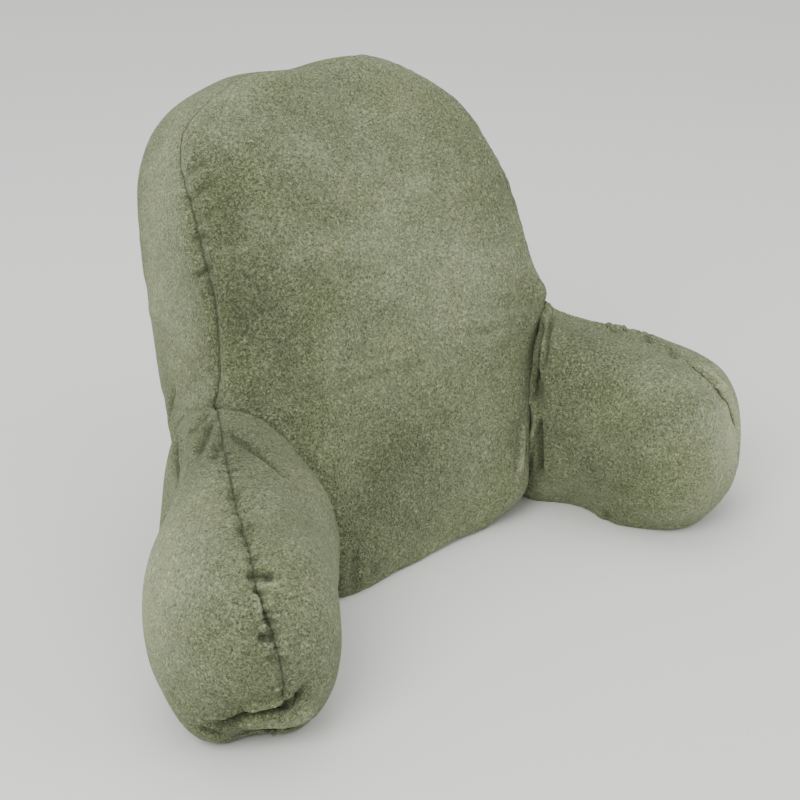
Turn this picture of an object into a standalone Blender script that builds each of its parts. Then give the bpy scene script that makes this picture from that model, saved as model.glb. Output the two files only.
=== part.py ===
"""Backrest pillow: an upright back with two arm bolsters, filled, and covered in short-pile plush.

The back stands on the floor and leans a little. Its outline lies in one leaning plane, with a
shallow front panel before it and a deeper rear panel behind it, and its seam follows the outline
but bows forward at mid height. Each arm is a stout bolster with a round tip, sewn to the side of
the back. Its seam runs along the top ridge, over the tip and underneath. Metres, +Z up, arms
towards -Y, floor at Z = 0.
"""
import math

import bmesh
import bpy
import numpy as np
from mathutils import Vector

for leftover in list(bpy.data.objects):
    bpy.data.objects.remove(leftover, do_unlink=True)

# Space between the back and an arm where they are sewn together
SEWN_GAP = 0.0004
# Two points nearer than this are one
SAME_POINT = 0.0006
# Where the middle of the back's outline stands, so that the whole footprint is centred
BACK_STANDS = (0.0093, -0.0237)

# The back: its lean from upright, the height of its outline's middle up the lean, how much of it
# the floor flattens, and how far its top bends backwards
BACK_LEAN = math.radians(17.6)
BACK_MIDDLE = 0.24
BACK_FLATTENED = 0.007
BACK_BEND = 0.034
# Fullness of each panel's edge, in its plane and in its depth: 1 is an ellipse, less is squarer
FRONT_EDGE = (0.59, 0.69)
REAR_EDGE = (0.27, 0.69)
BACK_SPOKES = 96
RINGS_A_PANEL = 15
# How much closer the rings lie near the seam
RING_CROWDING = 1.3
# The seam's groove: its depth, and its half-width in degrees over the edge
BACK_SEAM_DEPTH = 0.0025
BACK_SEAM_SPREAD = math.radians(6)

# Degrees round the outline from the right-hand side, distance of the seam from its middle
BACK_OUTLINE = (
    (-90, 0.245),
    (-62, 0.247),
    (-45, 0.217),
    (-20, 0.197),
    (10, 0.197),
    (35, 0.214),
    (55, 0.236),
    (72, 0.240),
    (90, 0.231),
    (108, 0.244),
    (125, 0.248),
    (145, 0.213),
    (170, 0.181),
    (200, 0.190),
    (225, 0.218),
    (242, 0.266),
)
# Height up the lean, how far before the outline's own plane the seam bows there
SEAM_BOWS = (
    (0.00, 0.000),
    (0.17, 0.000),
    (0.24, 0.0155),
    (0.31, 0.0215),
    (0.36, 0.0190),
    (0.43, 0.0040),
    (0.49, 0.000),
)
# Height up the lean, depth of the front panel, depth of the rear panel
BACK_DEPTHS = (
    (-0.02, 0.044, 0.125),
    (0.24, 0.046, 0.152),
    (0.48, 0.038, 0.100),
)
# Folds pressed into the back: start, end, half-width, depth
BACK_FOLDS = (
    ((0.038, 0.118, 0.426), (0.029, 0.084, 0.390), 0.024, 0.0050),
    ((-0.089, -0.045, 0.009), (-0.080, -0.046, 0.062), 0.011, 0.0030),
)

# Both arms: how much the floor flattens, where the tip and the root start to close as shares of
# the length, how far the root reaches into the back, and the height of the tip's middle
ARM_FLATTENED = 0.0136
TIP_FROM = 0.62
ROOT_FROM = 0.10
ROOT_REACH = 0.42
TIP_HEIGHT = 0.0775
TIP_LIFT = 0.7
# Roundness of the closing tip and root, and of the section across and upright
TIP_ROUND = 2.6
ROOT_ROUND = 1.6
ARM_EDGE_ACROSS = 0.96
ARM_EDGE_UPRIGHT = 0.80
ROOT_RINGS = 13
MIDDLE_RINGS = 13
TIP_RINGS = 16
ARM_SPOKES = 60
ARM_SEAM_DEPTH = 0.004
ARM_SEAM_SPREAD = math.radians(8)

# Share of the length, half-width inside on the left and on the right arm, half-width outside,
# height of the top
ARM_SECTIONS = (
    (-0.4, 0.046, 0.044, 0.060, 0.188),
    (0.0, 0.068, 0.060, 0.057, 0.190),
    (0.3, 0.087, 0.064, 0.067, 0.181),
    (0.6, 0.072, 0.076, 0.085, 0.171),
    (1.0, 0.069, 0.096, 0.074, 0.170),
)
# Name, side, distance of the root from the middle of the back across and towards the rear,
# splay in degrees, length, and which column of the sections holds its inside
ARMS = (
    ("arm_left", -1, 0.187, 0.043, 25.3, 0.261, 1),
    ("arm_right", 1, 0.184, 0.043, 26.6, 0.208, 2),
)
# Folds pressed into each arm: start, end, half-width, depth. The first ones gather its root.
ARM_FOLDS = {
    "arm_left": (
        ((-0.193, 0.017, 0.183), (-0.221, 0.003, 0.174), 0.009, 0.0050),
        ((-0.200, 0.000, 0.183), (-0.230, -0.029, 0.176), 0.009, 0.0060),
        ((-0.203, -0.025, 0.181), (-0.222, -0.046, 0.179), 0.008, 0.0045),
        ((-0.217, 0.023, 0.167), (-0.241, -0.005, 0.157), 0.008, 0.0045),
        ((-0.195, -0.027, 0.181), (-0.190, -0.073, 0.176), 0.010, 0.0045),
        ((-0.251, -0.123, 0.167), (-0.250, -0.099, 0.171), 0.009, 0.0035),
        ((-0.282, -0.187, 0.151), (-0.269, -0.195, 0.150), 0.009, 0.0040),
        ((-0.288, -0.192, 0.145), (-0.289, -0.212, 0.114), 0.009, 0.0040),
        ((-0.307, -0.203, 0.046), (-0.281, -0.218, 0.050), 0.010, 0.0070),
        ((-0.281, -0.218, 0.050), (-0.263, -0.225, 0.065), 0.010, 0.0060),
    ),
    "arm_right": (
        ((0.177, 0.004, 0.182), (0.154, -0.015, 0.149), 0.013, 0.0060),
        ((0.154, -0.015, 0.149), (0.149, -0.029, 0.087), 0.013, 0.0060),
        ((0.149, -0.029, 0.087), (0.154, -0.016, 0.028), 0.013, 0.0060),
        ((0.252, -0.150, 0.155), (0.273, -0.163, 0.132), 0.009, 0.0050),
        ((0.273, -0.163, 0.132), (0.285, -0.164, 0.110), 0.009, 0.0045),
        ((0.182, -0.092, 0.025), (0.197, -0.108, 0.009), 0.010, 0.0045),
    ),
}


def smooth_through(rows, column, at):
    """Reads a table's column at any place on a smooth curve through its rows."""
    places = np.array([row[0] for row in rows], float)
    values = np.array([row[column] for row in rows], float)
    slopes = np.gradient(values, places)
    at = np.clip(at, places[0], places[-1])
    i = np.clip(np.searchsorted(places, at) - 1, 0, len(places) - 2)
    span = places[i + 1] - places[i]
    t = (at - places[i]) / span
    from_start = (1 + 2 * t) * (1 - t) ** 2 * values[i] + t * (1 - t) ** 2 * span * slopes[i]
    from_end = t * t * (3 - 2 * t) * values[i + 1] + t * t * (t - 1) * span * slopes[i + 1]
    return from_start + from_end


def signed_power(value, power):
    return np.sign(value) * np.abs(value) ** power


def closed_form(rings):
    """Skins a stack of rings, whose first and last lie in a single point each, into a mesh."""
    form = bmesh.new()
    loops = [[form.verts.new(point) for point in ring] for ring in rings[1:-1]]
    start = form.verts.new(rings[0][0])
    end = form.verts.new(rings[-1][0])
    count = len(loops[0])
    for i in range(count):
        j = (i + 1) % count
        form.faces.new((start, loops[0][j], loops[0][i]))
        form.faces.new((end, loops[-1][i], loops[-1][j]))
        for near, far in zip(loops, loops[1:]):
            form.faces.new((near[i], near[j], far[j], far[i]))
    bmesh.ops.recalc_face_normals(form, faces=form.faces)
    return form


def press_folds(form, folds):
    """Presses soft troughs into a form along its normals, or raises ridges with a depth below 0."""
    form.normal_update()
    moves = []
    for vert in form.verts:
        press = 0.0
        for start, end, half_width, depth in folds:
            run = Vector(end) - Vector(start)
            share = (vert.co - Vector(start)).dot(run) / run.length_squared
            nearest = Vector(start) + run * min(max(share, 0), 1)
            press += depth * math.exp(-((vert.co - nearest).length / half_width) ** 2)
        moves.append(vert.normal * press)
    for vert, move in zip(form.verts, moves):
        vert.co -= move


def flatten_on_floor(form):
    """Cuts off what the floor flattens, and closes the cut with a flat base."""
    everything = list(form.verts) + list(form.edges) + list(form.faces)
    bmesh.ops.bisect_plane(
        form, geom=everything, dist=1e-6, plane_co=(0, 0, 0), plane_no=(0, 0, 1), clear_inner=True
    )
    bmesh.ops.remove_doubles(form, verts=form.verts, dist=SAME_POINT)
    rim = [edge for edge in form.edges if edge.is_boundary]
    for vert in {vert for edge in rim for vert in edge.verts}:
        vert.co.z = 0
    bmesh.ops.contextual_create(form, geom=rim)
    bmesh.ops.recalc_face_normals(form, faces=form.faces)


def back_rings():
    """Rings of the back, from the middle of its front panel over the seam to its rear middle."""
    wrapped = [(degrees - 360, reach) for degrees, reach in BACK_OUTLINE[-3:]]
    wrapped += BACK_OUTLINE
    wrapped += [(degrees + 360, reach) for degrees, reach in BACK_OUTLINE[:3]]
    spokes = np.linspace(-90, 270, BACK_SPOKES, endpoint=False)
    outline = smooth_through(wrapped, 1, spokes)
    spokes = np.radians(spokes)
    seam_up = BACK_MIDDLE + outline * np.sin(spokes)
    bow = np.clip(smooth_through(SEAM_BOWS, 1, seam_up), 0, None)
    seam_over = np.arcsin((bow / smooth_through(BACK_DEPTHS, 1, seam_up)) ** (1 / FRONT_EDGE[1]))
    rings = []
    for step in range(RINGS_A_PANEL, -RINGS_A_PANEL - 1, -1):
        share = abs(step) / RINGS_A_PANEL
        over = math.copysign(math.pi / 2 * share ** RING_CROWDING, step)
        in_plane, in_depth = FRONT_EDGE if step > 0 else REAR_EDGE
        groove = np.exp(-(((over - seam_over) / BACK_SEAM_SPREAD) ** 2))
        reach = outline - BACK_SEAM_DEPTH * groove
        reach = reach * max(math.cos(over), 0) ** in_plane
        bulge = signed_power(math.sin(over), in_depth)
        across = reach * np.cos(spokes)
        up = BACK_MIDDLE + reach * np.sin(spokes)
        column = 1 if step > 0 else 2
        out = smooth_through(BACK_DEPTHS, column, up) * bulge
        out = out - BACK_BEND * np.clip((up - BACK_MIDDLE) / BACK_MIDDLE, 0, None) ** 2
        x = BACK_STANDS[0] + across
        y = BACK_STANDS[1] + up * math.sin(BACK_LEAN) - out * math.cos(BACK_LEAN)
        z = up * math.cos(BACK_LEAN) + out * math.sin(BACK_LEAN) - BACK_FLATTENED
        rings.append(np.stack([x, y, z], axis=1))
    return rings


def arm_shares():
    """Places of an arm's rings along it: crowded where the root and the tip close."""
    quarter = math.pi / 2
    root = [
        ROOT_FROM - (ROOT_FROM + ROOT_REACH) * math.sin(quarter * (1 - i / ROOT_RINGS))
        for i in range(ROOT_RINGS)
    ]
    middle = list(np.linspace(ROOT_FROM, TIP_FROM, MIDDLE_RINGS, endpoint=False))
    tip = [
        TIP_FROM + (1 - TIP_FROM) * math.sin(quarter * i / TIP_RINGS) for i in range(TIP_RINGS + 1)
    ]
    return root + middle + tip


def arm_rings(side, root_x, root_y, splay, length, inside_column):
    """Rings of an arm bolster, from the point of its root inside the back to its tip."""
    along = Vector((side * math.sin(splay), -math.cos(splay), 0))
    outward = Vector((side * math.cos(splay), math.sin(splay), 0))
    round_it = np.linspace(0, 2 * math.pi, ARM_SPOKES, endpoint=False)
    from_ridge = np.abs(round_it - math.pi / 2)
    rings = []
    for share in arm_shares():
        into_tip = max(share - TIP_FROM, 0) / (1 - TIP_FROM)
        into_root = max(ROOT_FROM - share, 0) / (ROOT_FROM + ROOT_REACH)
        closing = max(1 - into_tip ** TIP_ROUND, 0) ** (1 / TIP_ROUND)
        closing *= max(1 - into_root ** ROOT_ROUND, 0) ** (1 / ROOT_ROUND)
        top = smooth_through(ARM_SECTIONS, 4, share)
        half_height = (top + ARM_FLATTENED) / 2
        middle = half_height - ARM_FLATTENED
        middle += (TIP_HEIGHT - middle) * TIP_LIFT * into_tip ** 2
        inside = smooth_through(ARM_SECTIONS, inside_column, share)
        outside = smooth_through(ARM_SECTIONS, 3, share)
        across = np.where(np.cos(round_it) > 0, outside, inside)
        across = across * closing * signed_power(np.cos(round_it), ARM_EDGE_ACROSS)
        z = middle + half_height * closing * signed_power(np.sin(round_it), ARM_EDGE_UPRIGHT)
        z = z - ARM_SEAM_DEPTH * closing * np.exp(-((from_ridge / ARM_SEAM_SPREAD) ** 2))
        x = BACK_STANDS[0] + side * root_x + share * length * along.x + across * outward.x
        y = BACK_STANDS[1] + root_y + share * length * along.y + across * outward.y
        rings.append(np.stack([x, y, z], axis=1))
    return rings


def plush(name, colour):
    """Short-pile plush in sage green: no gloss, no metal."""
    material = bpy.data.materials.new(name)
    material.use_nodes = True
    shader = material.node_tree.nodes["Principled BSDF"]
    shader.inputs["Base Color"].default_value = (*colour, 1)
    shader.inputs["Roughness"].default_value = 0.95
    shader.inputs["Metallic"].default_value = 0
    return material


def finished(form, name, material):
    """Makes a named, smooth object of a form."""
    mesh = bpy.data.meshes.new(name)
    form.to_mesh(mesh)
    form.free()
    mesh.shade_smooth()
    if material:
        mesh.materials.append(material)
    piece = bpy.data.objects.new(name, mesh)
    bpy.context.scene.collection.objects.link(piece)
    return piece


# The back
back = closed_form(back_rings())
press_folds(back, BACK_FOLDS)
grown = back.copy()
flatten_on_floor(back)
finished(back, "backrest", plush("sage_plush_back", (0.245, 0.265, 0.175)))

# What the arms are cut back from: the back's own form, larger by the sewn gap all over
grown.normal_update()
for vert in grown.verts:
    vert.co += vert.normal * SEWN_GAP
armhole = finished(grown, "armhole", None)
armhole.hide_render = True
armhole.display_type = "WIRE"

# The arms, each fitted to the side of the back
for name, side, root_x, root_y, splay, length, inside_column in ARMS:
    splay = math.radians(splay)
    arm = closed_form(arm_rings(side, root_x, root_y, splay, length, inside_column))
    press_folds(arm, ARM_FOLDS[name])
    flatten_on_floor(arm)
    piece = finished(arm, name, plush("sage_plush_" + name, (0.250, 0.270, 0.180)))
    fitted = piece.modifiers.new("fitted_to_back", "BOOLEAN")
    fitted.operation = "DIFFERENCE"
    fitted.solver = "EXACT"
    fitted.object = armhole
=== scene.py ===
"""Backrest pillow in sage green short-pile plush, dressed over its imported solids. Metres, +Z up."""
import math

import bpy
import numpy as np
from mathutils import Matrix, Vector, noise
from mathutils.bvhtree import BVHTree


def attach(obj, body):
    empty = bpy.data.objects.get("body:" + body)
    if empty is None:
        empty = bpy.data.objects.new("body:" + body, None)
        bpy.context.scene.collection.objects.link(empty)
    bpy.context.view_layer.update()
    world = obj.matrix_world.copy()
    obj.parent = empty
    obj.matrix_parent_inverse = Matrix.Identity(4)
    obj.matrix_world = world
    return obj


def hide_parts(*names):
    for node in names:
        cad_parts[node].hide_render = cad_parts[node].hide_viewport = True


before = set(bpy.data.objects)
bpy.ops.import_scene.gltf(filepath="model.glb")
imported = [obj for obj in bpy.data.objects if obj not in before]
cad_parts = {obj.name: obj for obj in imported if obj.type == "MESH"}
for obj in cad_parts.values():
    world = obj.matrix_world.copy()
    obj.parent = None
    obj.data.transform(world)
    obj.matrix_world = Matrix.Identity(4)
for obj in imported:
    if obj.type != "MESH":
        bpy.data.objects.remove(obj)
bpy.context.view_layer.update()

# The back
# An upright cushion of two panels of short-pile plush, sewn together round their outline and
# stuffed with loose polyester filling. The front panel is crowned a little and the rear panel is
# deeper; both pull in at the seam, and the underside is pressed flat by what it stands on.
BACK_LEAN = math.radians(17.6)
# Where the middle of the back's outline stands, across and towards the rear
BACK_STANDS = (0.0093, -0.0237)
# Height of the outline's middle up the lean, how much of the back the floor flattens, and how far
# its top bends backwards
BACK_MIDDLE = 0.24
BACK_FLATTENED = 0.007
BACK_BEND = 0.034
# Size of the cover's cells, and the most that the filling moves any point of it
BACK_CELL = 0.0052
BACK_CAP = 0.006
# How much shorter the plush is drawn along the seam, and how near the seam that is
BACK_DRAWN = 0.05
DRAWN_WITHIN = 0.008
# The seam's groove, its half-width and depth, and the height of the puckers beside it
BACK_SEAM_WIDTH = 0.0040
BACK_SEAM_DEPTH = 0.0024
BACK_PUCKER = 0.0009
# How near the arms the back's plush is pulled over to them, and how far it lifts there
BACK_PULL_REACH = 0.020
BACK_PULL_RISE = 0.009
# What lies lower than this rests on the floor
RESTING_HEIGHT = 0.0015
# How much smaller than its solid each cover starts, so that it swells into tension
SLACK = 0.002
EVENING_TURNS = 5
FILLING_STEPS = 20
REFITTING_TURNS = 25
ARM_NODES = ("arm_left", "arm_right")

# Height up the lean, how far before the outline's own plane the seam bows there
SEAM_BOWS = (
    (0.00, 0.0000),
    (0.17, 0.0000),
    (0.24, 0.0155),
    (0.31, 0.0215),
    (0.36, 0.0190),
    (0.43, 0.0040),
    (0.49, 0.0000),
)
# Where the pile is painted darker, or lighter above 0: place, radius, how much. Partly its brushed
# lay, partly painted light: the lighter patches on the flank and the front are painted sheen and
# light, the darker ones low on the front, by the left arm and along the left seam painted shade
BACK_LAY_AND_LIGHT = (
    ((-0.140, 0.030, 0.260), 0.050, -0.22),
    ((-0.140, 0.060, 0.340), 0.045, -0.18),
    ((-0.110, -0.010, 0.180), 0.060, -0.12),
    ((-0.020, -0.040, 0.090), 0.090, -0.12),
    ((0.020, -0.045, 0.015), 0.050, 0.08),
    ((0.050, 0.030, 0.260), 0.105, 0.18),
    ((0.020, 0.115, 0.430), 0.050, -0.08),
    ((-0.170, 0.130, 0.340), 0.080, 0.20),
    ((-0.170, 0.120, 0.230), 0.060, 0.14),
)
# Where the filling sits fuller, or slacker below 0: place, radius, how much
BACK_FORMS = (
    ((0.157, 0.090, 0.374), 0.030, 0.0035),
    ((0.173, 0.069, 0.338), 0.030, 0.0035),
    ((0.194, 0.018, 0.215), 0.018, 0.0040),
    ((0.197, 0.020, 0.200), 0.018, 0.0100),
    ((0.178, -0.004, 0.150), 0.026, -0.0035),
    ((0.130, -0.034, 0.035), 0.032, 0.0070),
    ((0.152, -0.018, 0.014), 0.026, 0.0080),
    ((0.052, -0.045, 0.018), 0.040, -0.0055),
    ((-0.121, 0.148, 0.411), 0.040, -0.0035),
    ((-0.164, 0.145, 0.275), 0.050, -0.0045),
    ((0.080, 0.140, 0.430), 0.045, 0.0040),
    ((-0.090, -0.044, 0.008), 0.030, 0.0080),
)
# Half-width and depth of each fold, then the points of its line; a depth below 0 raises a ridge
BACK_FOLDS = (
    # The dip in the top edge, and its fold down the front
    (0.0120, 0.0020, (0.041, 0.123, 0.424), (0.035, 0.107, 0.409), (0.032, 0.090, 0.390)),
    # Two nips across the seam, at the upper left
    (0.0030, 0.0034, (-0.168, 0.075, 0.322), (-0.162, 0.068, 0.325), (-0.154, 0.062, 0.329)),
    (0.0032, 0.0040, (-0.171, 0.063, 0.292), (-0.163, 0.055, 0.298), (-0.156, 0.050, 0.304)),
    # The long slack fold low on the left flank
    (
        0.0032, 0.0045, (-0.169, 0.102, 0.180), (-0.168, 0.107, 0.160), (-0.165, 0.114, 0.145),
        (-0.160, 0.121, 0.125), (-0.153, 0.118, 0.098),
    ),
    # Short slanting folds that the seam gathers in the front panel
    (0.0050, 0.0020, (-0.158, 0.098, 0.366), (-0.132, 0.088, 0.388)),
    (0.0050, 0.0021, (-0.158, 0.088, 0.350), (-0.134, 0.078, 0.370)),
    (0.0050, 0.0018, (-0.160, 0.076, 0.333), (-0.138, 0.067, 0.347)),
    # Folds at the foot of the front, by the left arm
    (0.0050, 0.0022, (-0.089, -0.043, 0.004), (-0.085, -0.044, 0.022), (-0.080, -0.043, 0.045)),
    (0.0050, 0.0016, (-0.067, -0.047, 0.009), (-0.063, -0.048, 0.030)),
    # The pulled edge at the foot of the front, by the right arm
    (0.0040, -0.0022, (0.146, -0.033, 0.099), (0.137, -0.034, 0.077), (0.121, -0.042, 0.050)),
    (0.0040, 0.0018, (0.137, -0.036, 0.095), (0.127, -0.040, 0.072), (0.112, -0.044, 0.045)),
)


def smooth_through(rows, at):
    """Reads a two-column table at any place on a smooth curve through its rows."""
    places, values = np.array(rows, float).T
    slopes = np.gradient(values, places)
    at = np.clip(at, places[0], places[-1])
    i = np.clip(np.searchsorted(places, at) - 1, 0, len(places) - 2)
    span = places[i + 1] - places[i]
    t = (at - places[i]) / span
    from_start = (1 + 2 * t) * (1 - t) ** 2 * values[i] + t * (1 - t) ** 2 * span * slopes[i]
    from_end = t * t * (3 - 2 * t) * values[i + 1] + t * t * (t - 1) * span * slopes[i + 1]
    return from_start + from_end


def evened_copy(node, name, cell):
    """A copy of a node's solid, merged and remeshed in even cells that cloth can work on."""
    cover = bpy.data.objects.new(name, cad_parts[node].data.copy())
    bpy.context.scene.collection.objects.link(cover)
    cover.data.materials.clear()
    bpy.ops.object.select_all(action="DESELECT")
    cover.select_set(True)
    bpy.context.view_layer.objects.active = cover
    bpy.ops.object.mode_set(mode="EDIT")
    bpy.ops.mesh.select_all(action="SELECT")
    bpy.ops.mesh.remove_doubles(threshold=0.0001)
    bpy.ops.object.mode_set(mode="OBJECT")
    applied(cover, "REMESH", mode="VOXEL", voxel_size=cell)
    return cover


def applied(cover, kind, **settings):
    """Adds a modifier with its settings and applies it."""
    bpy.context.view_layer.objects.active = cover
    modifier = cover.modifiers.new(kind.lower(), kind)
    for key, value in settings.items():
        setattr(modifier, key, value)
    bpy.ops.object.modifier_apply(modifier=modifier.name)


def points(cover, what="co"):
    """The cover's points, or their normals, as an array with a row for each."""
    flat = np.empty(len(cover.data.vertices) * 3)
    cover.data.vertices.foreach_get(what, flat)
    return flat.reshape(-1, 3)


def put_points(cover, place):
    """Moves the cover's points to new places, none of them under the floor."""
    place[:, 2] = np.maximum(place[:, 2], 0)
    cover.data.vertices.foreach_set("co", place.ravel())
    cover.data.update()


def group_of(cover, name, weights):
    """A vertex group with a weight for each point."""
    group = cover.vertex_groups.new(name=name)
    for index in np.flatnonzero(weights > 0.001):
        group.add([int(index)], float(weights[index]), "REPLACE")
    return name


def surface(cover):
    """The faces of a cover or solid, as a tree that finds the nearest place on them."""
    return BVHTree.FromPolygons(
        [v.co for v in cover.data.vertices], [p.vertices for p in cover.data.polygons]
    )


def smoothed(cover, held, turns):
    """Evens out the facets of the solid, all but the held points."""
    loose = group_of(cover, "loose", 1.0 - held)
    applied(cover, "SMOOTH", factor=0.5, iterations=turns, vertex_group=loose)


def filled(cover, held, gathered, drawn, cap):
    """Swells the cover as its filling does: held points stay, gathered ones are drawn in.

    drawn is how much shorter the gathered ones get, and cap the farthest that any point moves.
    """
    before = points(cover)
    swelling = cover.modifiers.new("filling", "CLOTH")
    cloth = swelling.settings
    cloth.quality = 5
    cloth.mass = 0.3
    cloth.tension_stiffness = 15
    cloth.compression_stiffness = 15
    cloth.shear_stiffness = 5
    cloth.bending_stiffness = 0.5
    cloth.use_pressure = True
    cloth.uniform_pressure_force = 4
    cloth.effector_weights.gravity = 0
    cloth.vertex_group_mass = group_of(cover, "held", held)
    cloth.vertex_group_shrink = group_of(cover, "gathered", gathered)
    cloth.shrink_min = 0.0
    cloth.shrink_max = drawn
    for step in range(1, FILLING_STEPS + 1):
        bpy.context.scene.frame_set(step)
    bpy.context.view_layer.objects.active = cover
    bpy.ops.object.modifier_apply(modifier="filling")
    bpy.context.scene.frame_set(1)
    move = points(cover) - before
    length = np.linalg.norm(move, axis=1, keepdims=True)
    put_points(cover, before + move * cap * np.tanh(length / cap) / np.maximum(length, 1e-9))


def refitted(cover, node, turns):
    """Brings the cover back to the size of its solid, and keeps the small wrinkles it has."""
    solid = surface(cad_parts[node])
    place = points(cover)
    normal = points(cover, "normal")
    nearest = np.array([solid.find_nearest(Vector(row))[0] for row in place])
    short = ((nearest - place) * normal).sum(axis=1)
    pairs = np.empty(len(cover.data.edges) * 2, int)
    cover.data.edges.foreach_get("vertices", pairs)
    ends = pairs.reshape(-1, 2)
    count = np.bincount(pairs, minlength=len(place))
    for _ in range(turns):
        total = np.bincount(ends[:, 0], short[ends[:, 1]], len(place))
        total += np.bincount(ends[:, 1], short[ends[:, 0]], len(place))
        short = 0.5 * short + 0.5 * total / np.maximum(count, 1)
    put_points(cover, place + normal * short[:, None])


def noise_at(place, size, shift):
    """Smooth noise between about -1 and 1, of that size, at each row of an array."""
    return np.array([noise.noise(Vector(row) / size + Vector((shift, 0, 0))) for row in place])


# How far to either side a seam shapes the plush
SEAM_REACH = 0.04


def seamed(cover, across, beside, width, depth, pucker, shift):
    """Draws in a seam where across is 0, and gathers the plush along it in uneven puckers.

    beside holds each point's place with its distance across the seam left out, and pucker how
    high the puckers are at each point. Returns the painted shade in each pinch, and how far up on
    a pucker each point lies, for a painted highlight there, both from 0 to 1.
    """
    distance = np.abs(across)
    groove = depth * np.exp(-((distance / width) ** 2))
    lips = 0.12 * depth * np.exp(-(((distance - 2.4 * width) / (1.2 * width)) ** 2))
    close = distance < SEAM_REACH
    near = beside[close]
    # Puckers of 12 and 5.5 mm, stronger in patches of 45 mm, with a pinch between each two
    swell = noise_at(near, 0.012, shift) + 0.5 * noise_at(near, 0.0055, shift + 9)
    pinch = np.exp(-((swell / 0.14) ** 2))
    patchy = 0.35 + 0.65 * np.clip(noise_at(near, 0.045, shift + 5) * 2 + 0.4, 0, 1)
    reach = np.exp(-((distance[close] / 0.011) ** 1.5))
    gather = np.zeros(len(across))
    gather[close] = pucker[close] * patchy * reach * (0.35 + np.abs(swell) * 1.6 - 1.2 * pinch)
    # How strongly the pinches get painted shade and the tops of the puckers a painted highlight
    strong = np.minimum(pucker[close] / 0.0024, 1) * patchy
    pinch_shade = np.zeros(len(across))
    pinch_shade[close] = strong * pinch * np.exp(-((distance[close] / 0.006) ** 2))
    raised = np.zeros(len(across))
    crest = np.clip(np.abs(swell) * 2 - 0.4, 0, 1)
    raised[close] = strong * crest * np.exp(-(((distance[close] - 0.005) / 0.004) ** 2))
    put_points(cover, points(cover) + points(cover, "normal") * (lips + gather - groove)[:, None])
    attribute = cover.data.attributes.new("seam", "FLOAT", "POINT")
    attribute.data.foreach_set("value", across)
    return pinch_shade, raised


# Share of a fold's length over which it fades out at each end
FOLD_FADE = 0.22
# Half-width past which a fold is too open to get painted shade, and depth from which its painted shade
# is darkest
WIDEST_DARK_FOLD = 0.009
DARKEST_FROM = 0.0035


def pressed(cover, folds, painted_crease_shade):
    """Presses each fold into the cover as a trough with soft lips that fade out at its ends.

    Stores the painted shade at each point, darkest down in a narrow crease, and returns how high
    it lies on a ridge, for the painted highlight there.
    """
    skin = surface(cover)
    place = points(cover)
    normal = points(cover, "normal")
    move = np.zeros(len(place))
    ridge = np.zeros(len(place))
    for half_width, depth, *line in folds:
        # The fold's line at every millimetre, laid on the cover
        line = np.array(line)
        steps = np.concatenate([[0], np.cumsum(np.linalg.norm(np.diff(line, axis=0), axis=1))])
        reach = np.linspace(0, steps[-1], max(int(steps[-1] / 0.001), 3))
        path = np.stack([np.interp(reach, steps, line[:, i]) for i in range(3)], axis=1)
        path = np.array([skin.find_nearest(Vector(row))[0] for row in path])
        # The points near it, and how far along it and away from it each lies
        margin = 4 * half_width
        near = np.flatnonzero(
            ((place > path.min(axis=0) - margin) & (place < path.max(axis=0) + margin)).all(axis=1)
        )
        away = np.linalg.norm(place[near, None] - path[None], axis=2)
        share = reach[away.argmin(axis=1)] / steps[-1]
        away = away.min(axis=1) / half_width
        fade = np.clip(np.minimum(share, 1 - share) / FOLD_FADE, 0, 1)
        fade = fade * fade * (3 - 2 * fade)
        trough = np.exp(-(away ** 2))
        lips = 0.35 * np.exp(-(((away - 2.0) / 0.8) ** 2))
        move[near] += depth * (0.1 + 0.9 * fade) * (lips - trough)
        # Painted shade down in a narrow fold, darker the deeper it is
        if depth > 0 and half_width < WIDEST_DARK_FOLD:
            dark = fade * trough * min(depth / DARKEST_FROM, 1)
            painted_crease_shade[near] = np.maximum(painted_crease_shade[near], dark)
        if depth < 0:
            ridge[near] = np.maximum(ridge[near], fade * trough)
    put_points(cover, place + normal * move[:, None])
    attribute = cover.data.attributes.new("painted_crease_shade", "FLOAT", "POINT")
    attribute.data.foreach_set("value", painted_crease_shade)
    return ridge


def uneven(cover, held, shift):
    """The slight lumps of loose filling, and the small slack waves of the plush over it."""
    place = points(cover)
    lumps = 0.0020 * noise_at(place, 0.075, shift) + 0.0008 * noise_at(place, 0.03, shift + 3)
    put_points(cover, place + points(cover, "normal") * (lumps * (1 - held))[:, None])


def back_places(place):
    """Each point's place across the back, up its lean, and before its seam, or behind it below 0."""
    across = place[:, 0] - BACK_STANDS[0]
    y = place[:, 1] - BACK_STANDS[1]
    z = place[:, 2] + BACK_FLATTENED
    up = y * math.sin(BACK_LEAN) + z * math.cos(BACK_LEAN)
    before = z * math.sin(BACK_LEAN) - y * math.cos(BACK_LEAN)
    before += BACK_BEND * np.clip((up - BACK_MIDDLE) / BACK_MIDDLE, 0, None) ** 2
    return across, up, before - np.clip(smooth_through(SEAM_BOWS, up), 0, None)


def spotted(place, spots):
    """The amount that each point gets from all the spots round it."""
    total = np.zeros(len(place))
    for middle, radius, amount in spots:
        away = np.linalg.norm(place - np.array(middle), axis=1) / radius
        total += amount * np.exp(-(away ** 2))
    return total


def shaped(cover, forms):
    """Fills the cover out, or slackens it, round each place in the table."""
    place = points(cover)
    put_points(cover, place + points(cover, "normal") * spotted(place, forms)[:, None])


def painted_lay_and_light(cover, lay_and_light_spots, ridge):
    """Stores how light or dark the pile is painted at each point.

    The spots give its brushed lay together with painted sheen and painted shade, and each ridge
    gets a painted highlight.
    """
    lightness = spotted(points(cover), lay_and_light_spots) + 0.28 * ridge
    attribute = cover.data.attributes.new("lay_and_painted_light", "FLOAT", "POINT")
    attribute.data.foreach_set("value", lightness)


# What lies nearer to the other piece than this touches it
TOUCHING = 0.0012


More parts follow.
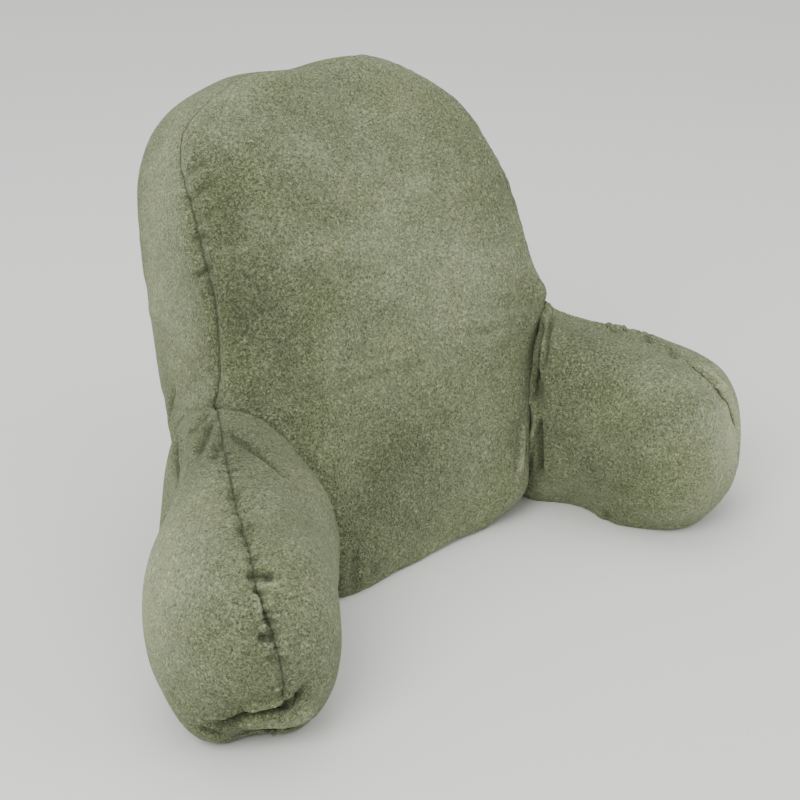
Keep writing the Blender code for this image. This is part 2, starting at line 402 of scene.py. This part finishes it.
def tented(cover, nodes, reach, rise, where):
    """Lifts the plush where it is pulled over to the piece that it is sewn to.

    where is 0 to 1 at each point. What touches the other piece already stays as it is.
    """
    place = points(cover)
    normal = points(cover, "normal")
    solids = [surface(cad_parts[node]) for node in nodes]
    lift = np.zeros(len(place))
    for index in np.flatnonzero(where > 0):
        spot = Vector(place[index])
        away = min(solid.find_nearest(spot)[3] for solid in solids)
        if away > TOUCHING:
            lift[index] = rise * where[index] * math.exp(-((away / reach) ** 2))
    put_points(cover, place + normal * lift[:, None])


def held_at_base(place):
    """1 on the underside that rests, down to 0 a little above it."""
    return np.clip(1 - (place[:, 2] - 0.002) / 0.008, 0, 1)


def rested(cover):
    """Sets the lowest points down on the floor, and evens out the facets above them."""
    place = points(cover)
    place[place[:, 2] < RESTING_HEIGHT, 2] = 0
    put_points(cover, place)
    smoothed(cover, held_at_base(place), EVENING_TURNS)


def slackened(cover, place, held):
    """Draws the cover in from its solid, all but the held points."""
    put_points(cover, place - points(cover, "normal") * SLACK * (1 - held)[:, None])


def near_seam(off_seam):
    """1 on the seam, down to 0 a little beside it."""
    return np.exp(-((off_seam / DRAWN_WITHIN) ** 2))


def near_solid(place, nodes, reach):
    """1 on the nodes' solids, down to 0 at that distance from them."""
    close = np.zeros(len(place))
    for node in nodes:
        solid = surface(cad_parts[node])
        for index, row in enumerate(place):
            hit = solid.find_nearest(Vector(row), reach)
            if hit[0] is not None:
                close[index] = max(close[index], 1 - hit[3] / reach)
    return close


# Short cut-pile polyester plush, dyed sage green. To the eye it is matt with a soft sheen: its pile
# leans in patches where hands have brushed it, stands up in small curled tufts, and lies darker
# where it parts at a seam. Painted into its colour are painted shade down in creases and pinches,
# lighter patches as painted sheen, darker ones as painted shade, and painted highlights on ridges.
# Its patterns: name, size in millimetres, detail, roughness, distortion. The pile's own hairs are
# too fine to show, so the tufts, curls and flecks are drawn a little coarser than they are.
PILE_PATTERNS = (
    ("brushed_patch", 91, 2.0, 0.5, 0.6),
    ("dye_patch", 59, 1.0, 0.5, 0.0),
    ("mottle", 18.2, 3.0, 0.6, 0.0),
    ("fleck", 3.333, 1.0, 0.5, 2.5),
    ("curl", 3.704, 1.0, 0.5, 0.8),
    ("tuft", 2.083, 2.0, 0.6, 1.0),
)
# What a pattern, the seam or a crease's painted shade gives to, its name, its range, what it gives at
# either end
PILE_SHARES = (
    ("tone", "brushed_patch", 0.30, 0.70, -0.14, 0.14),
    ("tone", "mottle", 0.30, 0.70, -0.06, 0.06),
    ("tone", "fleck", 0.32, 0.44, -0.32, 0.00),
    ("tone", "curl", 0.00, 0.07, 0.30, 0.00),
    ("tone", "tuft", 0.30, 0.70, 0.02, 0.84),
    ("yellowness", "dye_patch", 0.45, 0.70, 0.00, 0.30),
    ("parting", "seam", 0.0005, 0.0015, 0.95, 0.00),
    ("thread", "fleck", 0.38, 0.55, 1.00, 0.75),
    ("shade", "painted_crease_shade", 0.15, 0.90, 0.00, 0.70),
    ("relief", "mottle", 0.30, 0.70, 0.00, 0.50),
    ("relief", "curl", 0.00, 0.07, 0.50, 0.00),
    ("relief", "tuft", 0.30, 0.70, 0.00, 0.60),
    ("relief", "seam", 0.0000, 0.0020, -1.50, 0.00),
)
# Colours of the pile from deep down to the tips of its tufts, and the tone at which each comes
PILE_COLOURS = ((0.0, "424933"), (0.5, "767e5d"), (1.0, "a6ad8c"), (1.25, "bfc6a4"))
YELLOWER_DYE = "f4f6d6"
# Colour of the pile parted at the seam's dark line, also the painted shade down in creases
PARTED_PILE_AND_CREASE_SHADE = "3d412d"
PILE_SHEEN = "c9cfb0"
# Height of the relief, in metres
PILE_RELIEF = 0.0016


def srgb(code):
    """The linear colour of a six-digit sRGB colour code."""
    parts = [int(code[i : i + 2], 16) / 255 for i in (0, 2, 4)]
    linear = [v / 12.92 if v <= 0.04045 else ((v + 0.055) / 1.055) ** 2.4 for v in parts]
    return (*linear, 1)


def plush(name, pattern_shift):
    """Sage plush, with its patterns moved by a distance of its own on each piece."""
    material = bpy.data.materials.new(name)
    material.use_nodes = True
    nodes = material.node_tree.nodes
    links = material.node_tree.links
    shader = nodes["Principled BSDF"]
    shader.inputs["Roughness"].default_value = 0.92
    shader.inputs["Specular IOR Level"].default_value = 0.18
    shader.inputs["Sheen Weight"].default_value = 0.4
    shader.inputs["Sheen Roughness"].default_value = 0.5
    shader.inputs["Sheen Tint"].default_value = srgb(PILE_SHEEN)

    def add(kind, wires=(), **values):
        """A node with its named inputs set, and wires into it: (input, node, output)."""
        node = nodes.new(kind)
        for key, value in values.items():
            if key in node.inputs:
                node.inputs[key].default_value = value
            else:
                setattr(node, key, value)
        for into, source, out in wires:
            links.new(source.outputs[out], node.inputs[into])
        return node

    # The patterns, the way off the seam, and the painted shade in creases, each with the output to
    # read
    place = add("ShaderNodeTexCoord")
    moved = add("ShaderNodeMapping", [("Vector", place, "Object")], Location=pattern_shift)
    read = {}
    for pattern, size, detail, roughness, distortion in PILE_PATTERNS:
        noisy = add(
            "ShaderNodeTexNoise",
            [("Vector", moved, "Vector")],
            Scale=1000 / size,
            Detail=detail,
            Roughness=roughness,
            Distortion=distortion,
        )
        read[pattern] = (noisy, "Fac")
    # A curl is a thin winding line, where its noise crosses its middle value
    off_middle = add("ShaderNodeMath", [(0, *read["curl"])], operation="SUBTRACT")
    off_middle.inputs[1].default_value = 0.5
    read["curl"] = (add("ShaderNodeMath", [(0, off_middle, 0)], operation="ABSOLUTE"), 0)
    across = add("ShaderNodeAttribute", attribute_name="seam")
    read["seam"] = (add("ShaderNodeMath", [(0, across, "Fac")], operation="ABSOLUTE"), 0)
    read["painted_crease_shade"] = (add("ShaderNodeAttribute", attribute_name="painted_crease_shade"), "Fac")

    # Each share, added to what came before it
    total = {}
    for whole, source, low, high, at_low, at_high in PILE_SHARES:
        span = {"From Min": low, "From Max": high, "To Min": at_low, "To Max": at_high}
        share = add("ShaderNodeMapRange", [("Value", *read[source])], **span)
        if whole in total:
            share = add("ShaderNodeMath", [(0, total[whole], 0), (1, share, 0)], operation="ADD")
        total[whole] = share

    # The tone with the brushed lay, painted sheen and painted shade of the patches in it, turned to a
    # colour
    lay_and_painted_light = add("ShaderNodeAttribute", attribute_name="lay_and_painted_light")
    tone = add("ShaderNodeMath", [(0, total["tone"], 0), (1, lay_and_painted_light, "Fac")], operation="ADD")
    lightest = PILE_COLOURS[-1][0]
    place_on_ramp = add("ShaderNodeMath", [(0, tone, 0)], operation="DIVIDE")
    place_on_ramp.inputs[1].default_value = lightest
    ramp = add("ShaderNodeValToRGB", [("Fac", place_on_ramp, 0)])
    stops = ramp.color_ramp.elements
    stops[0].color, stops[1].color = srgb(PILE_COLOURS[0][1]), srgb(PILE_COLOURS[-1][1])
    for tone_there, colour in PILE_COLOURS[1:-1]:
        stops.new(tone_there / lightest).color = srgb(colour)

    # Patches where the dye looks a little yellower
    warmer = add(
        "ShaderNodeMix", [("Factor", total["yellowness"], 0)], data_type="RGBA", blend_type="MULTIPLY"
    )
    links.new(ramp.outputs["Color"], warmer.inputs[6])
    warmer.inputs[7].default_value = srgb(YELLOWER_DYE)

    # The dark line of the seam, broken by its thread, and the painted shade in a crease
    wires = [(0, total["parting"], 0), (1, total["thread"], 0)]
    line = add("ShaderNodeMath", wires, operation="MULTIPLY")
    dark = add("ShaderNodeMath", [(0, line, 0), (1, total["shade"], 0)], operation="MAXIMUM")
    shaded = add("ShaderNodeMix", [("Factor", dark, 0)], data_type="RGBA", blend_type="MIX")
    links.new(warmer.outputs[2], shaded.inputs[6])
    shaded.inputs[7].default_value = srgb(PARTED_PILE_AND_CREASE_SHADE)
    links.new(shaded.outputs[2], shader.inputs["Base Color"])

    bump = add("ShaderNodeBump", [("Height", total["relief"], 0)], Strength=0.9, Distance=PILE_RELIEF)
    links.new(bump.outputs["Normal"], shader.inputs["Normal"])
    return material


back_cover = evened_copy("backrest", "backrest_cover", BACK_CELL)
rested(back_cover)

# Filled, with the places that rest or are sewn to an arm held
place = points(back_cover)
sewn = np.clip(near_solid(place, ARM_NODES, 0.01) * 3, 0, 1)
held = np.maximum(held_at_base(place), sewn)
_, _, before_seam = back_places(place)
slackened(back_cover, place, held)
filled(back_cover, held, near_seam(before_seam), BACK_DRAWN, BACK_CAP)
refitted(back_cover, "backrest", REFITTING_TURNS)
applied(back_cover, "SUBSURF", levels=1)

# Its unevenness, and its rear panel pulled over to the arms
place = points(back_cover)
held = np.maximum(held_at_base(place), near_solid(place, ARM_NODES, 0.012))
uneven(back_cover, held, shift=11)
shaped(back_cover, BACK_FORMS)
_, _, before_seam = back_places(points(back_cover))
rear = np.clip(-before_seam / 0.01 + 0.5, 0, 1)
tented(back_cover, ARM_NODES, BACK_PULL_REACH, BACK_PULL_RISE, rear)

# The seam, the folds with their painted shade, and the lie of the pile with its painted light
across, up, before_seam = back_places(points(back_cover))
beside = np.stack([across, up, 0 * up], axis=1)
pucker = np.full(len(up), BACK_PUCKER)
pinch_shade, raised = seamed(
    back_cover, before_seam, beside, BACK_SEAM_WIDTH, BACK_SEAM_DEPTH, pucker, shift=21
)
ridge = pressed(back_cover, BACK_FOLDS, pinch_shade)
painted_lay_and_light(back_cover, BACK_LAY_AND_LIGHT, ridge + raised)
back_cover.data.materials.append(plush("sage_plush_back", (0, 0, 0)))
back_cover.data.shade_smooth()
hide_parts("backrest")
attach(back_cover, "root")

# The arms
# Two stout bolsters of the same plush, sewn to the sides of the back and stuffed firmly. A seam
# runs along the top of each, over its tip and underneath, and gathers the plush unevenly; the
# tips rest on the floor and fold over themselves a little.
# Size of the cover's cells, the most that the filling moves any point of it, and how much shorter
# the plush is drawn along the seam
ARM_CELL = 0.0038
ARM_CAP = 0.006
ARM_DRAWN = 0.15
# Half-width and depth of the seam's groove, and the height of the puckers beside it
ARM_SEAM_WIDTH = 0.0032
ARM_SEAM_DEPTH = 0.0030
ARM_PUCKER = 0.0040
# How near the back an arm's plush is pulled over to it, and how far it lifts there
ARM_PULL_REACH = 0.014
ARM_PULL_RISE = 0.006
# Space left between an arm's cover and the back's
SEWN_GAP = 0.0004

# Name, side, distance of the root from the middle of the back across and towards the rear, splay
ARMS = (
    ("arm_left", -1, 0.187, 0.043, math.radians(25.3)),
    ("arm_right", 1, 0.184, 0.043, math.radians(26.6)),
)
# How far the seam strays outwards from the middle of each arm, by the way along it and down the tip
SEAM_STRAYS = {
    "arm_left": (
        (0.00, 0.000), (0.12, 0.006), (0.21, 0.006),
        (0.28, 0.003), (0.33, -0.006), (0.37, -0.011),
    ),
    "arm_right": (
        (0.00, 0.012), (0.10, 0.024), (0.15, 0.020), (0.18, 0.003),
        (0.22, -0.001), (0.25, 0.004), (0.28, 0.009),
    ),
}
# Height from which the way along the seam goes on downwards over the tip
ARM_TOP = 0.17
# Where the left arm's seam goes in under the fold of the tip: the way along, and the height
TUCKED_FROM = 0.12
TUCKED_UNDER = 0.043
# A distance off the seam at which nothing of it shows
FAR_OFF = 0.05
# Where the pile is painted darker, or lighter above 0: place, radius, how much. Partly its brushed
# lay, partly painted light: the lighter patches on the left arm's outer side and the right tip are
# painted sheen, the darker ones at the roots, low down and on the left tip painted shade
ARM_LAY_AND_LIGHT = {
    "arm_left": (
        ((-0.205, -0.030, 0.180), 0.050, -0.18),
        ((-0.320, -0.090, 0.110), 0.060, 0.44),
        ((-0.290, -0.210, 0.050), 0.055, -0.30),
        ((-0.288, -0.205, 0.110), 0.040, -0.10),
    ),
    "arm_right": (
        ((0.180, -0.040, 0.110), 0.060, -0.10),
        ((0.200, -0.080, 0.040), 0.055, -0.12),
        ((0.284, -0.165, 0.095), 0.052, 0.60),
    ),
}
# Where the filling sits fuller, or slacker below 0: place, radius, how much
ARM_FORMS = {
    "arm_left": (
        ((-0.250, 0.000, 0.130), 0.036, -0.0100),
        ((-0.262, -0.035, 0.151), 0.035, -0.0030),
        ((-0.320, -0.070, 0.110), 0.040, 0.0030),
        ((-0.333, -0.142, 0.045), 0.035, 0.0010),
        ((-0.330, -0.150, 0.026), 0.024, 0.0040),
        ((-0.318, -0.170, 0.010), 0.022, 0.0090),
        ((-0.290, -0.200, 0.006), 0.026, -0.0125),
    ),
    "arm_right": (
        ((0.200, 0.015, 0.187), 0.014, 0.0065),
        ((0.218, -0.008, 0.184), 0.026, -0.0060),
        ((0.230, -0.042, 0.180), 0.026, -0.0040),
        ((0.282, -0.112, 0.166), 0.036, -0.0120),
        ((0.292, -0.142, 0.148), 0.026, -0.0060),
        ((0.167, -0.012, 0.004), 0.022, 0.0055),
        ((0.176, -0.062, 0.008), 0.022, -0.0020),
        ((0.204, -0.100, 0.004), 0.026, 0.0110),
        ((0.279, -0.169, 0.050), 0.030, 0.0040),
    ),
}
# Half-width and depth of each fold, then the points of its line; a depth below 0 raises a ridge
ARM_FOLDS = {
    "arm_left": (
        # The root, gathered by its joint with the back, outside and inside
        (0.0038, 0.0030, (-0.178, 0.030, 0.182), (-0.199, 0.018, 0.179), (-0.212, 0.011, 0.174)),
        (0.0045, 0.0050, (-0.185, 0.016, 0.182), (-0.207, -0.004, 0.178), (-0.226, -0.020, 0.172)),
        (0.0040, 0.0035, (-0.203, -0.022, 0.176), (-0.213, -0.032, 0.176), (-0.223, -0.042, 0.175)),
        (
            0.0034, 0.0040, (-0.193, 0.058, 0.163), (-0.212, 0.037, 0.160), (-0.225, 0.020, 0.156),
            (-0.239, 0.000, 0.152), (-0.254, -0.022, 0.150),
        ),
        (
            0.0030, 0.0034, (-0.193, -0.008, 0.181), (-0.190, -0.034, 0.178), (-0.187, -0.061, 0.174),
            (-0.187, -0.100, 0.166),
        ),
        # Pinches across the top seam
        (0.0030, 0.0030, (-0.248, -0.096, 0.169), (-0.241, -0.097, 0.170), (-0.238, -0.103, 0.169)),
        (0.0030, 0.0022, (-0.252, -0.118, 0.165), (-0.243, -0.119, 0.166)),
        (0.0030, 0.0030, (-0.273, -0.159, 0.163), (-0.264, -0.157, 0.164)),
        (0.0030, 0.0025, (-0.279, -0.174, 0.158), (-0.269, -0.173, 0.159)),
        # The seam's turn down over the tip
        (
            0.0038, 0.0040, (-0.286, -0.179, 0.153), (-0.281, -0.182, 0.150), (-0.273, -0.186, 0.149),
            (-0.267, -0.194, 0.148),
        ),
        (0.0035, -0.0024, (-0.282, -0.185, 0.143), (-0.273, -0.191, 0.142), (-0.264, -0.199, 0.140)),
        (0.0028, -0.0026, (-0.287, -0.188, 0.143), (-0.288, -0.201, 0.130), (-0.287, -0.210, 0.114)),
        # Pinches on the tip
        (0.0038, 0.0045, (-0.296, -0.206, 0.112), (-0.287, -0.211, 0.110), (-0.280, -0.213, 0.112)),
        (0.0028, 0.0022, (-0.292, -0.214, 0.095), (-0.284, -0.217, 0.103)),
        # The slit where the tip folds over itself, its upper lip, and the roll under it
        (
            0.0032, 0.0090, (-0.323, -0.175, 0.033), (-0.306, -0.197, 0.040), (-0.292, -0.206, 0.044),
            (-0.275, -0.212, 0.046), (-0.266, -0.218, 0.053), (-0.259, -0.221, 0.066),
        ),
        (
            0.0045, -0.0045, (-0.306, -0.197, 0.048), (-0.292, -0.206, 0.052), (-0.275, -0.208, 0.053),
            (-0.268, -0.216, 0.060),
        ),
        (
            0.0100, -0.0050, (-0.309, -0.194, 0.025), (-0.297, -0.204, 0.026), (-0.280, -0.212, 0.027),
            (-0.262, -0.220, 0.035), (-0.250, -0.222, 0.048),
        ),
        # The corner tucked in beside the roll
        (0.0028, 0.0045, (-0.324, -0.166, 0.030), (-0.319, -0.176, 0.026), (-0.314, -0.188, 0.021)),
    ),
    "arm_right": (
        # The two deep folds and the strand between them, where the arm is sewn on
        (
            0.0078, 0.0110, (0.190, 0.010, 0.184), (0.176, -0.004, 0.176), (0.166, -0.011, 0.160),
            (0.160, -0.018, 0.142), (0.155, -0.025, 0.124), (0.152, -0.027, 0.105),
        ),
        (
            0.0030, -0.0045, (0.204, 0.015, 0.185), (0.186, -0.004, 0.180), (0.170, -0.017, 0.163),
            (0.161, -0.026, 0.140), (0.157, -0.028, 0.120),
        ),
        (
            0.0026, 0.0040, (0.197, 0.000, 0.184), (0.182, -0.014, 0.178), (0.170, -0.025, 0.160),
            (0.161, -0.031, 0.141),
        ),
        # The lower fold of the joint, and the strand beside it
        (0.0036, 0.0065, (0.158, -0.029, 0.100), (0.156, -0.034, 0.065), (0.155, -0.032, 0.030)),
        (
            0.0030, -0.0045, (0.153, -0.023, 0.115), (0.156, -0.027, 0.094), (0.152, -0.021, 0.064),
            (0.156, -0.008, 0.024),
        ),
        # The rolled edge along the seam over the tip
        (
            0.0055, -0.0055, (0.276, -0.120, 0.168), (0.282, -0.136, 0.158), (0.286, -0.150, 0.145),
            (0.291, -0.156, 0.128),
        ),
        (
            0.0032, 0.0035, (0.266, -0.135, 0.159), (0.264, -0.146, 0.153), (0.267, -0.154, 0.143),
            (0.279, -0.157, 0.128),
        ),
        (0.0025, -0.0018, (0.262, -0.138, 0.155), (0.261, -0.149, 0.147), (0.268, -0.158, 0.134)),
        (0.0035, 0.0025, (0.288, -0.159, 0.114), (0.290, -0.163, 0.099)),
        # A crease where the arm meets the floor
        (0.0060, 0.0035, (0.190, -0.090, 0.015), (0.198, -0.096, 0.006), (0.212, -0.110, 0.004)),
        # Pinches across the top seam
        (0.0035, 0.0030, (0.216, -0.034, 0.180), (0.216, -0.024, 0.180)),
        (0.0035, 0.0025, (0.236, -0.050, 0.177), (0.238, -0.038, 0.177)),
        (0.0040, 0.0035, (0.254, -0.080, 0.171), (0.262, -0.070, 0.171)),
        (0.0040, 0.0030, (0.258, -0.108, 0.167), (0.270, -0.098, 0.167)),
    ),
}


def arm_places(place, side, root_x, root_y, splay):
    """Each point's distance along the arm from its root, and outwards from its middle."""
    x = place[:, 0] - BACK_STANDS[0] - side * root_x
    y = place[:, 1] - BACK_STANDS[1] - root_y
    along = side * math.sin(splay) * x - math.cos(splay) * y
    outward = side * math.cos(splay) * x + math.sin(splay) * y
    return along, outward


def off_arm_seam(name, place, along, outward):
    """How far each point lies outwards of the arm's seam."""
    way = along + np.clip(ARM_TOP - place[:, 2], 0, None)
    return outward - smooth_through(SEAM_STRAYS[name], way)


def kept_clear(cover, neighbour, gap):
    """Moves what lies in the neighbour, or nearer to it than the gap, to just outside it."""
    skin = surface(neighbour)
    place = points(cover)
    for index, row in enumerate(place):
        spot = Vector(row)
        nearest, facing, _, distance = skin.find_nearest(spot, 0.02)
        if nearest is None:
            continue
        inside = (spot - nearest).dot(facing) < 0
        if inside or distance < gap:
            place[index] = nearest + facing * gap
    put_points(cover, place)


for name, side, root_x, root_y, splay in ARMS:
    cover = evened_copy(name, name + "_cover", ARM_CELL)
    rested(cover)

    # Filled, with the places that rest or are sewn to the back held
    place = points(cover)
    sewn = np.clip(near_solid(place, ("backrest",), 0.008) * 3, 0, 1)
    held = np.maximum(held_at_base(place), sewn)
    along, outward = arm_places(place, side, root_x, root_y, splay)
    off_seam = off_arm_seam(name, place, along, outward)
    slackened(cover, place, held)
    filled(cover, held, near_seam(off_seam), ARM_DRAWN, ARM_CAP)
    refitted(cover, name, REFITTING_TURNS)
    applied(cover, "SUBSURF", levels=1)

    # Its unevenness, and its outer side pulled over to the back
    uneven(cover, held_at_base(points(cover)), shift=31 + side)
    shaped(cover, ARM_FORMS[name])
    _, outward = arm_places(points(cover), side, root_x, root_y, splay)
    outer = np.clip(outward / 0.02 + 0.7, 0, 1)
    tented(cover, ("backrest",), ARM_PULL_REACH, ARM_PULL_RISE, outer)

    # The seam. Its puckers die away towards the root and the floor, and the right tip has few.
    place = points(cover)
    along, outward = arm_places(place, side, root_x, root_y, splay)
    off_seam = off_arm_seam(name, place, along, outward)
    tucked_in = (side < 0) & (along > TUCKED_FROM) & (place[:, 2] < TUCKED_UNDER)
    off_seam = np.where(tucked_in, FAR_OFF, off_seam)
    beside = np.stack([along, place[:, 2], 0 * along], axis=1)
    pucker = ARM_PUCKER * np.clip((place[:, 2] - 0.045) / 0.03, 0.1, 1)
    pucker *= np.clip((along - 0.045) / 0.02, 0.12, 1)
    if side > 0:
        pucker *= np.clip((0.165 - along) / 0.02, 0.25, 1)
    pinch_shade, raised = seamed(
        cover, off_seam, beside, ARM_SEAM_WIDTH, ARM_SEAM_DEPTH, pucker, shift=41 + side
    )

    # The folds with their painted shade, the lie of the pile with its painted light, and the sewn
    # joint
    ridge = pressed(cover, ARM_FOLDS[name], pinch_shade)
    painted_lay_and_light(cover, ARM_LAY_AND_LIGHT[name], ridge + raised)
    kept_clear(cover, back_cover, SEWN_GAP)
    cover.data.materials.append(plush("sage_plush_" + name, (0.3 * side, 0.1, 0.2)))
    cover.data.shade_smooth()
    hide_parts(name)
    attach(cover, "root")

# The floor
# A plain pale painted floor for the pillow to stand on. It isn't part of the object.
FLOOR_HALF = 6
CORNERS = ((-1, -1), (1, -1), (1, 1), (-1, 1))
floor_mesh = bpy.data.meshes.new("floor")
floor_mesh.from_pydata([(x * FLOOR_HALF, y * FLOOR_HALF, 0) for x, y in CORNERS], [], [(0, 1, 2, 3)])
floor = bpy.data.objects.new("floor", floor_mesh)
bpy.context.scene.collection.objects.link(floor)
pale = bpy.data.materials.new("pale_floor")
pale.use_nodes = True
pale.node_tree.nodes["Principled BSDF"].inputs["Base Color"].default_value = srgb("f4f4f2")
pale.node_tree.nodes["Principled BSDF"].inputs["Roughness"].default_value = 0.9
floor_mesh.materials.append(pale)

# The light
# A bright room all round, a large soft lamp at the upper left, and weaker ones at the right and
# overhead.
world = bpy.data.worlds.new("pale_room")
bpy.context.scene.world = world
world.use_nodes = True
world.node_tree.nodes["Background"].inputs["Color"].default_value = srgb("ffffff")
world.node_tree.nodes["Background"].inputs["Strength"].default_value = 0.82
LAMPS_POINT_AT = Vector((0, 0, 0.2))
# Name, place, width, power
LAMPS = (
    ("key_lamp", (-1.9, -0.9, 1.9), 1.6, 44),
    ("fill_lamp", (1.4, -2.0, 1.5), 1.8, 15),
    ("top_lamp", (0.2, 0.6, 2.4), 1.6, 14),
)
for lamp_name, stands, width, power in LAMPS:
    light = bpy.data.lights.new(lamp_name, "AREA")
    light.size = width
    light.energy = power
    lamp = bpy.data.objects.new(lamp_name, light)
    lamp.location = stands
    lamp.rotation_euler = (Vector(stands) - LAMPS_POINT_AT).to_track_quat("Z", "Y").to_euler()
    bpy.context.scene.collection.objects.link(lamp)

# The camera
# In front of the pillow, to its left and a little above it, as in the photograph.
CAMERA_AIM = Vector((BACK_STANDS[0], BACK_STANDS[1], 0.2))
CAMERA_AZIMUTH = math.radians(-39.2036)
CAMERA_HEIGHT = math.radians(23.3539)
CAMERA_DISTANCE = 1.6375
CAMERA_ROLL = math.radians(0.318)
# Focal length and width of its film in millimetres, and how far the picture is shifted on it
CAMERA_LENS = 81.72
FILM_WIDTH = 36
PICTURE_SHIFT = (-0.0225, -0.0545)
backward = Vector(
    (
        math.sin(CAMERA_AZIMUTH) * math.cos(CAMERA_HEIGHT),
        -math.cos(CAMERA_AZIMUTH) * math.cos(CAMERA_HEIGHT),
        math.sin(CAMERA_HEIGHT),
    )
)
rightward = Vector((math.cos(CAMERA_AZIMUTH), math.sin(CAMERA_AZIMUTH), 0))
upward = backward.cross(rightward)
turned_right = rightward * math.cos(CAMERA_ROLL) + upward * math.sin(CAMERA_ROLL)
turned_up = upward * math.cos(CAMERA_ROLL) - rightward * math.sin(CAMERA_ROLL)
lens = bpy.data.cameras.new("camera")
lens.sensor_width = FILM_WIDTH
lens.lens = CAMERA_LENS
lens.shift_x, lens.shift_y = PICTURE_SHIFT
camera = bpy.data.objects.new("camera", lens)
turn = Matrix((turned_right, turned_up, backward)).transposed().to_4x4()
camera.matrix_world = Matrix.Translation(CAMERA_AIM + backward * CAMERA_DISTANCE) @ turn
bpy.context.scene.collection.objects.link(camera)
bpy.context.scene.camera = camera
